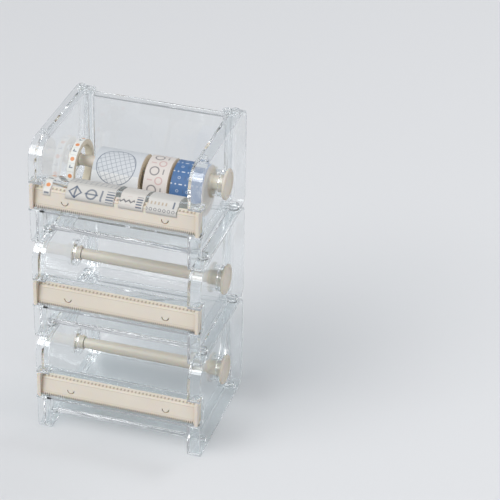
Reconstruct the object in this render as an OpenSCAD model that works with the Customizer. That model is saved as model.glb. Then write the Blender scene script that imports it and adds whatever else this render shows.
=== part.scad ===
// Stackable tape dispenser: three clear tiers, each a small open box that carries tape rolls
// on a cross rod behind a toothed cutter. X runs along the rod, the cutter faces minus Y and
// Z is up. The origin is on the standing surface, under the middle of the stack.

/* [Stack] */
// Depth from the cutter's front to the rear edges
tier_d = 143.5; // [136:0.5:160]

/* [Side panels] */
// Height of a side panel, up to its top rim
panel_h = 107; // [105:0.5:112]
// Width of the rim round a panel, measured along X
rim_w = 13; // [11:0.5:16]
// Thickness of the rim
rim_t = 2.2; // [1.8:0.1:2.6]
// Thickness of the flat web inside the rim
web_t = 2.4; // [1.8:0.1:3]
// Distance from the left panel's outer face to its web
left_web_inset = 5.6; // [4:0.1:6.4]
// How far the panels' front posts stand behind the cutter's front
post_setback = 2.75; // [2:0.25:4]
// Radius of the big shoulder at the top front corner
shoulder_r = 21; // [12:1:26]
// Radius of the top rear corner
top_rear_r = 12; // [6:1:16]
// Radius of the bottom rear corner
bottom_rear_r = 11; // [6:1:14]
// Radius of the bottom front corner
foot_r = 6; // [4:0.5:8]

/* [Stacking pegs] */
// Diameter of the collar that the next tier rests on
collar_d = 10.4; // [10:0.2:11.4]
// Height of that collar above the rim
collar_h = 1; // [0.5:0.1:3]
// Diameter of the pin that enters the next tier's socket
pin_d = 8.4; // [7:0.2:8.4]
// Length of that pin above its collar
pin_h = 2.5; // [2:0.1:3]
// Bore down the middle of a peg
peg_bore_d = 5.6; // [3:0.2:5.8]
// Clearance between a pin and its socket, on the radius
socket_clear = 0.1; // [0.05:0.05:0.2]
// Height of the socket boss inside the bottom rim
socket_h = 3.4; // [3.2:0.2:6]
// Distance of the pegs from the panel's outer face
peg_inset = 6.5; // [6:0.25:7]
// Distance of the front pegs from the tier's front
peg_front = 29; // [26:1:34]
// Distance of the rear pegs from the tier's rear
peg_rear = 17; // [14:1:24]

/* [Tray] */
// Thickness of the floor, the front wall and the shelf
tray_t = 2.4; // [2:0.1:3]
// Height of the floor's underside above the feet
floor_z = 5; // [4:0.1:6]
// Diameter of the round rail along the floor's front edge
rail_d = 6.6; // [5:0.2:8]
// Distance of that rail's middle from the tier's front
rail_front = 26.5; // [24:0.5:32]
// Height of the shelf that carries the cutter
shelf_z = 40.5; // [36:0.5:44]
// How far the shelf's edge stays behind the cutter's front
shelf_setback = 0.5; // [0:0.1:1.5]
// Top of the front wall
front_wall_z = 66; // [62:0.5:68]
// Distance of the front wall's top from the tier's front
front_wall_top = 15.8; // [15:0.2:20]

/* [Rear wall] */
// Distance of the rear wall's inner face from the tier's rear
rear_wall_inset = 10.6; // [9:0.2:14]
// Thickness of the rear wall
rear_wall_t = 2.4; // [2:0.1:3]
// Height of the rear wall's top
rear_wall_z = 98; // [86:1:100]
// Depth of the flange along the rear wall's top
rear_flange = 8.2; // [6:0.2:10]
// Diameter of the corner posts
corner_post_d = 7.6; // [6:0.2:9]
// Bore of the corner posts
corner_bore_d = 3.6; // [2:0.2:4.4]
// Height of the corner posts
corner_post_z = 103; // [100:0.5:104]
// Diameter of the collar on a corner post's top
corner_collar_d = 9.6; // [8:0.2:11]
// Height of that collar
corner_collar_h = 3; // [2:0.5:5]

/* [Cutter] */
// How far each end of the cutter stays inside the panels' outer faces
cutter_inset = 1.5; // [1:0.1:3]
// Height of the cutter
cutter_h = 25.9; // [22:0.1:30]
// Thickness of the cutter's end plates
cutter_end_t = 3.1; // [2.4:0.1:4]
// Depth of an end plate at its top
end_top = 13.3; // [11:0.1:15]
// Depth of an end plate at its bottom
end_bottom = 6.2; // [5:0.1:9]
// Wall of the cutter's face
cutter_wall = 2; // [1.6:0.1:2.4]
// Depth of the ledge's front edge behind the cutter's front
ledge_front = 5.6; // [4:0.1:7]
// Depth of the ledge's rear edge behind the cutter's front
ledge_rear = 11.4; // [9:0.1:13]
// Drop of the ledge's rear edge below the end plates' top
ledge_rear_drop = 3.8; // [2:0.1:6]
// Drop of the ledge's front edge below the end plates' top
ledge_front_drop = 6.4; // [4:0.1:9]
// Depth of the toothed lip behind the cutter's front
lip_front = 2.6; // [1:0.1:4]
// Height of the toothed lip above the shelf
lip_z = 2; // [1.6:0.1:3]
// Pitch of the teeth
tooth_pitch = 1.97; // [1.6:0.01:2.6]
// Length of a tooth
tooth_h = 1.5; // [1:0.1:1.6]
// Pitch of the bumps along the ledge
bump_pitch = 3.8; // [3:0.1:6]
// Diameter of a bump
bump_d = 1.9; // [1.2:0.1:2.4]
// Height of a bump
bump_h = 0.5; // [0.2:0.1:0.8]
// Distance of the two snap tongues from the middle
tongue_x = 49.5; // [40:0.5:60]
// Radius of the slot round a snap tongue
tongue_r = 3.8; // [3:0.1:5]
// Width of that slot
tongue_slot = 0.9; // [0.6:0.1:1.2]

/* [Rod and knob] */
// Distance of the rod's axis from the tier's rear
rod_rear = 47.75; // [44:0.25:52]
// Height of the rod's axis above the feet
rod_z = 45.3; // [44:0.1:49]
// Diameter of the rod at its left end
rod_left_d = 11; // [10:0.1:12]
// Diameter of the rod where its steep taper ends
rod_mid_d = 12.2; // [11:0.1:12.4]
// Diameter of the rod at its right end
rod_right_d = 12.6; // [12.4:0.1:13]
// Length of the steep taper
rod_taper = 28; // [15:1:45]
// Diameter of the journals at both rod ends
journal_d = 8; // [7:0.1:9]
// Running clearance of a journal, on the radius
journal_clear = 0.08; // [0.03:0.01:0.1]
// Outer diameter of the clear rings round the rod's ends
ring_d = 26.7; // [24:0.1:30]
// Wall of those rings
ring_t = 1.8; // [1.2:0.1:2.4]
// Height of the left ring above its web
left_ring_h = 3.6; // [2:0.2:3.6]
// Height of the right ring above its web
right_ring_h = 4.8; // [3:0.1:5]
// Diameter of the bush's head, outside the left web
bush_d = 17; // [16:0.2:19]
// Thickness of that head
bush_head_t = 1.4; // [1:0.1:2.4]
// Diameter of the bush's sleeve
bush_sleeve_d = 13.6; // [12:0.1:14.4]
// Length of the sleeve inside the web
bush_sleeve_l = 7.2; // [6:0.1:8]
// Height of the small key on the sleeve's end
bush_key_h = 2; // [1:0.1:2.4]
// Width of that key
bush_key_w = 2.4; // [1.6:0.1:3]
// Diameter of the knob's disc
knob_d = 31; // [28:0.5:34]
// Thickness of the knob's disc
knob_t = 3.4; // [2.6:0.1:4.4]
// Bevel round the knob's disc
knob_bevel = 1; // [0.6:0.1:1.2]
// Diameter of the knob's hub in the right panel's bore
hub_d = 17; // [16:0.1:19]
// Running clearance of the hub, on the radius
hub_clear = 0.08; // [0.03:0.01:0.1]
// Diameter of the knob's inner sleeve
sleeve_d = 14.4; // [13:0.1:15]
// Length of the sleeve inside the right web
sleeve_l = 10; // [8:0.5:10.5]

/* [Tape] */
// Bore of the paper cores
core_bore_d = 34; // [33:0.1:35]
// Bore of the narrow roll's wider core
narrow_bore_d = 46; // [44:0.5:50]
// Wall of the paper cores
core_wall = 1.4; // [1:0.1:2]
// How far a core's bore hangs clear of the rod
hang_gap = 0.3; // [0.2:0.05:0.4]
// Width of the narrow roll
narrow_w = 7.2; // [6:0.1:10]
// Width of the wide roll
wide_w = 48; // [40:1:52]
// Width of the medium roll
medium_w = 24; // [18:0.5:26]
// Width of the blue roll
blue_w = 30; // [24:0.5:31]
// Outer diameter of the narrow roll
narrow_od = 57.6; // [44:0.2:58]
// Outer diameter of the wide roll
wide_od = 51; // [44:0.2:52]
// Outer diameter of the medium roll
medium_od = 52; // [44:0.2:52.4]
// Outer diameter of the blue roll
blue_od = 51; // [44:0.2:52]
// Gap between the narrow roll and the left ring
narrow_gap = 0.35; // [0.3:0.05:0.4]
// Space between the narrow and the wide roll
narrow_to_wide = 16.45; // [8:0.05:30]
// Space between the wide and the medium roll
wide_to_medium = 5; // [1:0.5:20]
// Space between the medium and the blue roll
medium_to_blue = 3; // [1:0.5:20]
// Space between the blue roll and the right panel's web
blue_to_web = 11.4; // [10.5:0.1:20]
// Thickness of a free tape end
tape_t = 0.5; // [0.3:0.1:0.6]
// Length of tape stuck on the cutter's face
tail_down = 9; // [5:0.5:12]

/* [Fits] */
// One overrun lets every cut pass fully through what it cuts
overrun = 1; // [0.5:0.1:2]
// Fit of a piece that is fixed face to face in another
fixed_gap = 0.1; // [0.05:0.05:0.2]
// Depth that a journal enters its bore
journal_l = 9; // [6:0.5:9]
// Free space at a journal's end
journal_end_gap = 0.6; // [0.3:0.1:1]

/* [Hidden] */
$fn = 64;

// Tiers, counted from the bottom of the stack
BOTTOM = 0;
MIDDLE = 1;
TOP = 2;
// Rolls, counted from the left
NARROW = 0;
WIDE = 1;
MEDIUM = 2;
BLUE = 3;
// Rows of the roll table
ROLL_LEFT = 0;
ROLL_W = 1;
ROLL_OD = 2;
ROLL_BORE = 3;
ROLL_Z = 4;

clear_colour = [0.86, 0.9, 0.92, 0.35];
cream = [0.93, 0.91, 0.84];
paper = [0.86, 0.8, 0.68];
tape_colours = ["ivory", "lightsteelblue", "linen", "steelblue"];

// Planes of one tier
tier_pitch = panel_h + collar_h;
tier_w = left_web_inset + web_t + left_ring_h + narrow_gap + narrow_w + narrow_to_wide + wide_w
    + wide_to_medium + medium_w + medium_to_blue + blue_w + blue_to_web + rim_w;
front_y = -tier_d / 2;
rear_y = tier_d / 2;
outer_x = tier_w / 2;
post_y = front_y + post_setback;
left_web_out = -outer_x + left_web_inset;
left_web_in = left_web_out + web_t;
right_web_in = outer_x - rim_w;
right_web_out = right_web_in + web_t;
rear_wall_y = rear_y - rear_wall_inset;
rod_y = rear_y - rod_rear;
peg_x = outer_x - peg_inset;
peg_ys = [front_y + peg_front, rear_y - peg_rear];
socket_d = pin_d + 2 * socket_clear;

// Places on the cutter, in its own section
cutter_top = shelf_z + cutter_h;
notch_y = front_y + end_top + fixed_gap;
ledge_a = [front_y + ledge_rear, cutter_top - ledge_rear_drop];
ledge_b = [front_y + ledge_front, cutter_top - ledge_front_drop];
lip = [front_y + lip_front, shelf_z + lip_z];
face_tilt = atan2(lip[0] - ledge_b[0], ledge_b[1] - lip[1]);
ledge_tilt = atan2(ledge_a[1] - ledge_b[1], ledge_a[0] - ledge_b[0]);
cutter_in = outer_x - cutter_inset - cutter_end_t;

// Places along the rod
bush_end_x = left_web_in + bush_sleeve_l;
rod_start_x = bush_end_x + hang_gap;
rod_end_x = right_web_in - sleeve_l;
ring_end_x = right_web_out + right_ring_h;
knob_x = ring_end_x + hang_gap;
journal_bore_d = journal_d + 2 * journal_clear;
hub_bore_d = hub_d + 2 * hub_clear;

// The tray's front wall leans from its foot at the rail to its top behind the cutter
rail_y = front_y + rail_front;
rail_z = floor_z + rail_d / 2;
wall_top_y = front_y + front_wall_top;
floor_top = floor_z + tray_t;

// Each roll's left side, width, outer diameter, bore and height of its axis; the narrow roll
// stands on the floor, the others hang on the rod
function rod_r(x) = x < rod_start_x + rod_taper
    ? (rod_left_d + (rod_mid_d - rod_left_d) * (x - rod_start_x) / rod_taper) / 2
    : (rod_mid_d + (rod_right_d - rod_mid_d) * (x - rod_start_x - rod_taper)
        / (rod_end_x - rod_start_x - rod_taper)) / 2;
// Height of the axis of a roll that hangs on the rod with its right end
function hung_z(x) = rod_z + rod_r(x) + hang_gap - core_bore_d / 2;
narrow_left = left_web_in + left_ring_h + narrow_gap;
wide_left = narrow_left + narrow_w + narrow_to_wide;
medium_left = wide_left + wide_w + wide_to_medium;
blue_left = medium_left + medium_w + medium_to_blue;
ROLLS = [
    [narrow_left, narrow_w, narrow_od, narrow_bore_d, floor_top + hang_gap + narrow_od / 2],
    [wide_left, wide_w, wide_od, core_bore_d, hung_z(wide_left + wide_w)],
    [medium_left, medium_w, medium_od, core_bore_d, hung_z(medium_left + medium_w)],
    [blue_left, blue_w, blue_od, core_bore_d, hung_z(blue_left + blue_w)]
];
// A tail keeps clear of the left panel's rim
function tail_left(i) = max(ROLLS[i][ROLL_LEFT], rim_w - outer_x + hang_gap);

// Lays an outline drawn as X = depth and Y = height into the side view, from x0 over width w
module side_slab(x0, w) {
    translate([x0, 0, 0]) rotate([90, 0, 90]) linear_extrude(w) children();
}

// A bar with a round outline along X
module x_rod(x0, x1, d, y = rod_y, z = rod_z) {
    translate([x0, y, z]) rotate([0, 90, 0]) cylinder(h = x1 - x0, d = d);
}

// What a rounded corner takes off a square one; turn aims the corner
module corner_off(at, r, turn) {
    translate(at) rotate(turn) difference() {
        translate([-overrun, -overrun]) square(r + overrun);
        translate([r, r]) circle(r);
    }
}

// Outline of a side panel, drawn in by a margin for the web's side of the rim
module panel_outline(inset = 0) {
    y0 = post_y + inset;
    y1 = rear_y - inset;
    z0 = inset;
    z1 = panel_h - inset;
    difference() {
        translate([y0, z0]) square([y1 - y0, z1 - z0]);
        corner_off([y0, z0], foot_r - inset, 0);
        corner_off([y1, z0], bottom_rear_r - inset, 90);
        corner_off([y1, z1], top_rear_r - inset, 180);
        corner_off([y0, z1], shoulder_r - inset, 270);
    }
}

// Room in a panel's front edge for the shelf and the cutter's end
module cutter_notch() {
    translate([front_y - overrun, shelf_z - tray_t])
        square([notch_y - front_y + overrun, cutter_h + tray_t + fixed_gap]);
}

// Rim, web, pegs and sockets of one side panel; side is -1 for left and 1 for right
module panel_body(side, web_x) {
    x0 = side < 0 ? -outer_x : outer_x - rim_w;
    side_slab(x0, rim_w) difference() {
        panel_outline();
        panel_outline(rim_t);
        cutter_notch();
    }
    side_slab(web_x, web_t) difference() {
        panel_outline();
        cutter_notch();
    }
    // The rim closes round the notch
    side_slab(x0, rim_w) intersection() {
        difference() {
            translate([post_y, shelf_z - tray_t - rim_t])
                square([notch_y - post_y + rim_t, cutter_h + tray_t + 2 * rim_t]);
            cutter_notch();
        }
        panel_outline();
    }
    for (y = peg_ys) {
        translate([side * peg_x, y, panel_h - rim_t])
            cylinder(h = collar_h + rim_t, d = collar_d);
        translate([side * peg_x, y, tier_pitch]) cylinder(h = pin_h, d = pin_d);
        translate([side * peg_x, y, 0]) cylinder(h = rim_t + socket_h, d = collar_d);
    }
}

// Room for the left panel's rim and sockets in the pieces that reach its web
module left_rim_room() {
    w = rim_w + fixed_gap;
    grown = rim_t + fixed_gap;
    side_slab(-outer_x, w) difference() {
        panel_outline(-overrun);
        panel_outline(grown);
        cutter_notch();
    }
    side_slab(-outer_x, w) difference() {
        translate([front_y, shelf_z - tray_t - grown])
            square([notch_y - front_y + grown, cutter_h + tray_t + 2 * grown]);
        cutter_notch();
    }
    for (y = peg_ys) translate([-peg_x, y, -overrun])
        cylinder(h = grown + socket_h + overrun, d = collar_d + 2 * fixed_gap);
}

// Bores of a panel's pegs and sockets
module peg_bores(side) {
    for (y = peg_ys) translate([side * peg_x, y, 0]) {
        translate([0, 0, panel_h]) cylinder(h = tier_pitch, d = peg_bore_d);
        translate([0, 0, -overrun]) cylinder(h = socket_h + overrun, d = socket_d);
    }
}

// Left panel: the web lies in the rim's middle, and the ring round the rod stands inwards
module left_panel() {
    color(clear_colour) difference() {
        union() {
            panel_body(-1, left_web_out);
            x_rod(left_web_in, left_web_in + left_ring_h, ring_d);
        }
        peg_bores(-1);
        x_rod(left_web_in, left_web_in + left_ring_h + overrun, ring_d - 2 * ring_t);
        x_rod(-outer_x - overrun, left_web_in + overrun, bush_sleeve_d);
    }
}

// Right panel: the web lies on the inside, which leaves a recess for the knob
module right_panel() {
    color(clear_colour) difference() {
        union() {
            panel_body(1, right_web_in);
            x_rod(right_web_out, ring_end_x, ring_d);
        }
        peg_bores(1);
        x_rod(right_web_out, ring_end_x + overrun, ring_d - 2 * ring_t);
        x_rod(right_web_in - overrun, right_web_out + overrun, hub_bore_d);
    }
}

// Rear wall with its top flange and two hollow corner posts
module rear_wall() {
    post_xs = [left_web_in + corner_collar_d / 2, right_web_in - corner_collar_d / 2];
    post_y0 = rear_wall_y + rear_wall_t + corner_post_d / 2 - rear_wall_t;
    color(clear_colour) difference() {
        union() {
            translate([left_web_in, rear_wall_y, floor_top])
                cube([right_web_in - left_web_in, rear_wall_t, rear_wall_z - floor_top]);
            translate([left_web_in, rear_wall_y, rear_wall_z - rim_t])
                cube([right_web_in - left_web_in, rear_flange, rim_t]);
            for (x = post_xs) translate([x, post_y0, 0]) {
                translate([0, 0, floor_top])
                    cylinder(h = corner_post_z - floor_top, d = corner_post_d);
                translate([0, 0, corner_post_z - corner_collar_h])
                    cylinder(h = corner_collar_h, d = corner_collar_d);
            }
        }
        for (x = post_xs) translate([x, post_y0, floor_top - overrun])
            cylinder(h = corner_post_z, d = corner_bore_d);
        left_rim_room();
    }
}

// Depth of the front wall's middle at a height
function wall_y(z) = rail_y + (wall_top_y - rail_y) * (z - rail_z) / (front_wall_z - rail_z);

// Tray: floor between the panels' rims, round front rail, leaning front wall and the shelf
// under the cutter, whose ends lie in the panels' notches
module tray() {
    half_w = outer_x - rim_w;
    color(clear_colour) difference() {
        union() {
            side_slab(-half_w, 2 * half_w) translate([rail_y, floor_z])
                square([rear_wall_y + rear_wall_t - rail_y, tray_t]);
            x_rod(-half_w, half_w, rail_d, rail_y, rail_z);
            side_slab(left_web_in, right_web_in - left_web_in) {
                polygon([
                    [wall_y(rail_z) - tray_t / 2, rail_z],
                    [wall_y(rail_z) + tray_t / 2, rail_z],
                    [wall_top_y + tray_t / 2, front_wall_z],
                    [wall_top_y - tray_t / 2, front_wall_z]
                ]);
                translate([front_y + shelf_setback, shelf_z - tray_t])
                    square([wall_y(shelf_z) - front_y - shelf_setback, tray_t]);
            }
            side_slab(-outer_x, tier_w)
                translate([front_y + shelf_setback, shelf_z - tray_t])
                square([end_top - shelf_setback, tray_t]);
        }
        left_rim_room();
    }
}

// Section of the cutter's bent face: rear return, ledge, tape face and lip
module cutter_section() {
    polygon([
        ledge_a, ledge_b, lip,
        [lip[0] + cutter_wall, lip[1]], [ledge_b[0] + cutter_wall, ledge_b[1] - cutter_wall],
        [ledge_a[0] - cutter_wall, ledge_a[1] - cutter_wall],
        [ledge_a[0] - cutter_wall, shelf_z], [ledge_a[0], shelf_z]
    ]);
}

// Saw teeth along the lip, as one zigzag
module teeth() {
    count = floor(2 * cutter_in / tooth_pitch);
    start = -count * tooth_pitch / 2;
    points = [for (i = [0:count - 1]) for (p = [[0, 0], [tooth_pitch / 2, -tooth_h]])
        [start + i * tooth_pitch + p[0], p[1]]];
    translate([0, lip[0] + cutter_wall / 2, lip[1]]) rotate([90, 0, 0])
        linear_extrude(cutter_wall / 2) polygon(concat(
            [[start, cutter_wall]], points, [[-start, 0], [-start, cutter_wall]]));
}

// Slot round one snap tongue: the lower half of a ring, cut square to the tape face
module tongue_cut(x) {
    middle = (ledge_b + lip) / 2;
    translate([x, middle[0], middle[1]]) rotate([90 - face_tilt, 0, 0])
        translate([0, 0, -2 * cutter_wall]) linear_extrude(3 * cutter_wall) difference() {
            circle(tongue_r);
            circle(tongue_r - tongue_slot);
            translate([-tongue_r - overrun, 0])
                square([2 * (tongue_r + overrun), tongue_r + overrun]);
        }
}

// Cutter: end plates, bent face, teeth, bumps along the ledge and two snap tongues
module cutter() {
    end_x = outer_x - cutter_inset;
    bumps = floor(2 * (cutter_in - bump_pitch) / bump_pitch);
    mid = (ledge_a + ledge_b) / 2;
    color(cream) difference() {
        union() {
            side_slab(-end_x, 2 * end_x) cutter_section();
            for (x = [-end_x, end_x - cutter_end_t]) side_slab(x, cutter_end_t) polygon([
                [front_y, shelf_z], [front_y + end_bottom, shelf_z],
                [front_y + end_top, cutter_top], [front_y, cutter_top]
            ]);
            teeth();
            for (i = [0:bumps]) translate([(i - bumps / 2) * bump_pitch, mid[0], mid[1]])
                rotate([ledge_tilt, 0, 0]) translate([0, 0, -bump_h])
                    cylinder(h = 2 * bump_h, d = bump_d, $fn = 16);
        }
        for (x = [-tongue_x, tongue_x]) tongue_cut(x);
    }
}

// Bush that carries the rod's left end: a head outside the web, a sleeve through it and a
// small key on the sleeve's end
module bush() {
    bore_end = bush_end_x - journal_l - journal_end_gap;
    color(cream) difference() {
        union() {
            x_rod(left_web_out - bush_head_t, left_web_out, bush_d);
            x_rod(left_web_out, bush_end_x, bush_sleeve_d);
            translate([bush_end_x - bush_key_w, rod_y - bush_key_w / 2, rod_z])
                cube([bush_key_w, bush_key_w, bush_sleeve_d / 2 + bush_key_h]);
        }
        x_rod(bore_end, bush_end_x + overrun, journal_bore_d);
    }
}

// Tapered rod with a journal at each end, turned about X
module rod() {
    profile = [
        [0, bush_end_x - journal_l], [journal_d / 2, bush_end_x - journal_l],
        [journal_d / 2, rod_start_x], [rod_left_d / 2, rod_start_x],
        [rod_mid_d / 2, rod_start_x + rod_taper], [rod_right_d / 2, rod_end_x - hang_gap],
        [journal_d / 2, rod_end_x - hang_gap], [journal_d / 2, right_web_out],
        [0, right_web_out]
    ];
    color(cream) translate([0, rod_y, rod_z]) rotate([0, 90, 0])
        rotate_extrude() polygon(profile);
}

// Knob: inner sleeve, hub in the panel's bore and a bevelled disc outside the ring
module knob() {
    end = knob_x + knob_t;
    profile = [
        [journal_bore_d / 2, rod_end_x], [sleeve_d / 2, rod_end_x],
        [sleeve_d / 2, right_web_in], [hub_d / 2, right_web_in], [hub_d / 2, knob_x],
        [knob_d / 2 - knob_bevel, knob_x], [knob_d / 2, knob_x + knob_bevel],
        [knob_d / 2, end - knob_bevel], [knob_d / 2 - knob_bevel, end],
        [knob_d / 2 - 3 * knob_bevel, end], [knob_d / 2 - 4 * knob_bevel, end - knob_bevel],
        [0, end - knob_bevel], [0, right_web_out + journal_end_gap],
        [journal_bore_d / 2, right_web_out + journal_end_gap]
    ];
    color(cream) translate([0, rod_y, rod_z]) rotate([0, 90, 0])
        rotate_extrude() polygon(profile);
}

// Paper core and wound tape of roll i, from bars along X
module roll_bar(i, d, extra = 0) {
    x0 = ROLLS[i][ROLL_LEFT];
    x_rod(x0 - extra, x0 + ROLLS[i][ROLL_W] + extra, d, rod_y, ROLLS[i][ROLL_Z]);
}

module core(i) {
    color(paper) difference() {
        roll_bar(i, ROLLS[i][ROLL_BORE] + 2 * core_wall);
        roll_bar(i, ROLLS[i][ROLL_BORE], overrun);
    }
}

module tape(i) {
    color(tape_colours[i]) difference() {
        roll_bar(i, ROLLS[i][ROLL_OD]);
        roll_bar(i, ROLLS[i][ROLL_BORE] + 2 * core_wall, overrun);
    }
}

// Free end of roll i: leaves the roll low in front, rises over the front wall and the
// ledge, and sticks to the cutter's face
function tangent_low(c, r, p) =
    let (d = norm(p - c), a = atan2(p[1] - c[1], p[0] - c[0]) + acos(r / d))
    c + r * [cos(a), sin(a)];
module tail(i) {
    lift = bump_h + hang_gap;
    wall_rear = [wall_top_y + tray_t / 2, front_wall_z + hang_gap];
    wall_front = [wall_top_y - tray_t / 2, front_wall_z + hang_gap];
    r = ROLLS[i][ROLL_OD] / 2 + hang_gap + tape_t;
    start = tangent_low([rod_y, ROLLS[i][ROLL_Z]], r, wall_rear);
    a = ledge_a + lift * [-sin(ledge_tilt), cos(ledge_tilt)];
    b = ledge_b + [-hang_gap, lift];
    down = b + tail_down * [sin(face_tilt), -cos(face_tilt)];
    t = [0, tape_t];
    s = [-tape_t, 0];
    color(tape_colours[i]) side_slab(tail_left(i), ROLLS[i][ROLL_W]) polygon([
        start, wall_rear, wall_front, a, b, down,
        down + s, b + t + s, a + t, wall_front + t, wall_rear + t, start + t
    ]);
}

// Raises a piece to its tier
module on_tier(t) {
    translate([0, 0, t * tier_pitch]) children();
}

on_tier(BOTTOM) left_panel();  // bottom_left_panel
on_tier(BOTTOM) right_panel();  // bottom_right_panel
on_tier(BOTTOM) rear_wall();  // bottom_rear_wall
on_tier(BOTTOM) tray();  // bottom_tray
on_tier(BOTTOM) cutter();  // bottom_cutter
on_tier(BOTTOM) bush();  // bottom_bush
on_tier(BOTTOM) rod();  // bottom_rod
on_tier(BOTTOM) knob();  // bottom_knob
on_tier(MIDDLE) left_panel();  // middle_left_panel
on_tier(MIDDLE) right_panel();  // middle_right_panel
on_tier(MIDDLE) rear_wall();  // middle_rear_wall
on_tier(MIDDLE) tray();  // middle_tray
on_tier(MIDDLE) cutter();  // middle_cutter
on_tier(MIDDLE) bush();  // middle_bush
on_tier(MIDDLE) rod();  // middle_rod
on_tier(MIDDLE) knob();  // middle_knob
on_tier(TOP) left_panel();  // top_left_panel
on_tier(TOP) right_panel();  // top_right_panel
on_tier(TOP) rear_wall();  // top_rear_wall
on_tier(TOP) tray();  // top_tray
on_tier(TOP) cutter();  // top_cutter
on_tier(TOP) bush();  // top_bush
on_tier(TOP) rod();  // top_rod
on_tier(TOP) knob();  // top_knob
on_tier(TOP) core(NARROW);  // narrow_core
on_tier(TOP) tape(NARROW);  // narrow_tape
on_tier(TOP) tail(NARROW);  // narrow_tail
on_tier(TOP) core(WIDE);  // wide_core
on_tier(TOP) tape(WIDE);  // wide_tape
on_tier(TOP) tail(WIDE);  // wide_tail
on_tier(TOP) core(MEDIUM);  // medium_core
on_tier(TOP) tape(MEDIUM);  // medium_tape
on_tier(TOP) tail(MEDIUM);  // medium_tail
on_tier(TOP) core(BLUE);  // blue_core
on_tier(TOP) tape(BLUE);  // blue_tape
on_tier(TOP) tail(BLUE);  // blue_tail
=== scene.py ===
# %% [markdown]
# # A stack of clear tape dispensers
# Three clear moulded tiers stand on each other. Each has a cream cutter in front, a cream rod
# across it and a cream knob at the right, and the top tier is loaded with four rolls of
# printed paper tape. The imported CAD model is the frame: its nodes give every place and size,
# and this file gives them rounded edges, finishes, wound tape and soft light.

# %% Load the frame
import math

import bmesh
import bpy
import numpy as np
from mathutils import Matrix, Vector


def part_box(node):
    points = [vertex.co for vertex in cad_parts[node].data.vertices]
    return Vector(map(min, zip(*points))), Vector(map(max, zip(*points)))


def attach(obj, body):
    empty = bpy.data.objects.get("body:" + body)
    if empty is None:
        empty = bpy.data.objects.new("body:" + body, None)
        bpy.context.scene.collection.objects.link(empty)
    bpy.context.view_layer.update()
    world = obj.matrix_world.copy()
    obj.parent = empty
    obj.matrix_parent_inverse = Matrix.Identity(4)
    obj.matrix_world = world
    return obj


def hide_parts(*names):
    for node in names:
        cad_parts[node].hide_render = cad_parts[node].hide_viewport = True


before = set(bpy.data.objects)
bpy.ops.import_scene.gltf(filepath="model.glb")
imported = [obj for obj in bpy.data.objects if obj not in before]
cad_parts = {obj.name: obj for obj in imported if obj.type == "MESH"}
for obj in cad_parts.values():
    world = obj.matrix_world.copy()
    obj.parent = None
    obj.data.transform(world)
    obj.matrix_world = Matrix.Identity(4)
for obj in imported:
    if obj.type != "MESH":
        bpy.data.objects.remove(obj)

MM = 0.001
scene = bpy.context.scene
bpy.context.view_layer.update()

# %% [markdown]
# ## Camera
# The photograph was taken from above and from the right of the cutters, with a long lens. A
# long lens keeps the tiers' edges nearly parallel. The place and the three turns below come
# from fitting the tiers' corners to the picture, so the camera's axes are built from those
# turns and put straight into its matrix.

# %% Camera at the photograph's place
CAMERA_PLACE = Vector((0.6003, -1.6538, 1.2746))
TURN_LEFT, TILT_UP, LEAN = (math.radians(a) for a in (16.443, -31.749, 1.234))
LENS_MM = 152.3

forward = Vector((-math.sin(TURN_LEFT) * math.cos(TILT_UP),
                  math.cos(TURN_LEFT) * math.cos(TILT_UP), math.sin(TILT_UP)))
level = Vector((math.cos(TURN_LEFT), math.sin(TURN_LEFT), 0))
upward = level.cross(forward)
camera_right = math.cos(LEAN) * level + math.sin(LEAN) * upward
camera_up = -math.sin(LEAN) * level + math.cos(LEAN) * upward

camera_data = bpy.data.cameras.new("photo camera")
camera_data.lens = LENS_MM
camera_data.clip_start, camera_data.clip_end = 0.05, 30
camera = bpy.data.objects.new("photo camera", camera_data)
scene.collection.objects.link(camera)
axes = Matrix((camera_right, camera_up, -forward)).transposed().to_4x4()
camera.matrix_world = Matrix.Translation(CAMERA_PLACE) @ axes
scene.camera = camera
scene.view_settings.view_transform = "Standard"
print("camera at", tuple(round(v, 3) for v in CAMERA_PLACE), "lens", LENS_MM)

# %% [markdown]
# ## Helpers for node trees
# A material is a small network, and each node in it is one step of a recipe. Two helpers keep
# the recipes short: one adds a node with its settings and its inputs, and one does arithmetic.
# The others build on them. An input is either a number or the output of an earlier node. A
# mark is drawn from a distance that is below zero inside the mark, and turned into a share.

# %% Node helpers
def add(tree, kind, inputs=None, **settings):
    """Adds a node; inputs maps a socket's name or number to a value or to another socket."""
    node = tree.nodes.new(kind)
    for key, value in settings.items():
        setattr(node, key, value)
    for key, value in (inputs or {}).items():
        if isinstance(value, bpy.types.NodeSocket):
            tree.links.new(value, node.inputs[key])
        else:
            node.inputs[key].default_value = value
    return node


def calc(tree, operation, *values, clamp=False):
    """The result of a Math node on numbers or sockets."""
    node = add(tree, "ShaderNodeMath", dict(enumerate(values)), operation=operation)
    node.use_clamp = clamp
    return node.outputs[0]


def blend_colours(tree, share, first, second):
    """The first colour where share is 0, the second where it is 1."""
    node = add(tree, "ShaderNodeMix", {0: share, 6: first, 7: second}, data_type="RGBA")
    return node.outputs[2]


def spread(tree, value, low, high):
    """Takes a value from 0 to 1 to the range from low to high."""
    return add(tree, "ShaderNodeMapRange", {0: value, 3: low, 4: high}).outputs[0]


def wrapped(tree, value, period, shift=0.0):
    """Distance from the middle of the nearest repeat, with its sign."""
    moved = calc(tree, "ADD", value, shift)
    return calc(tree, "WRAP", moved, period / 2, -period / 2)


def off_line(tree, value, half):
    """Distance from the edge of a line about zero that is two halves wide."""
    return calc(tree, "SUBTRACT", calc(tree, "ABSOLUTE", value), half)


def soft(tree, distance, edge):
    """The share 1 where a distance is below zero, fading to 0 over an edge."""
    return calc(tree, "MULTIPLY_ADD", distance, -1 / edge, 0.5, clamp=True)


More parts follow.
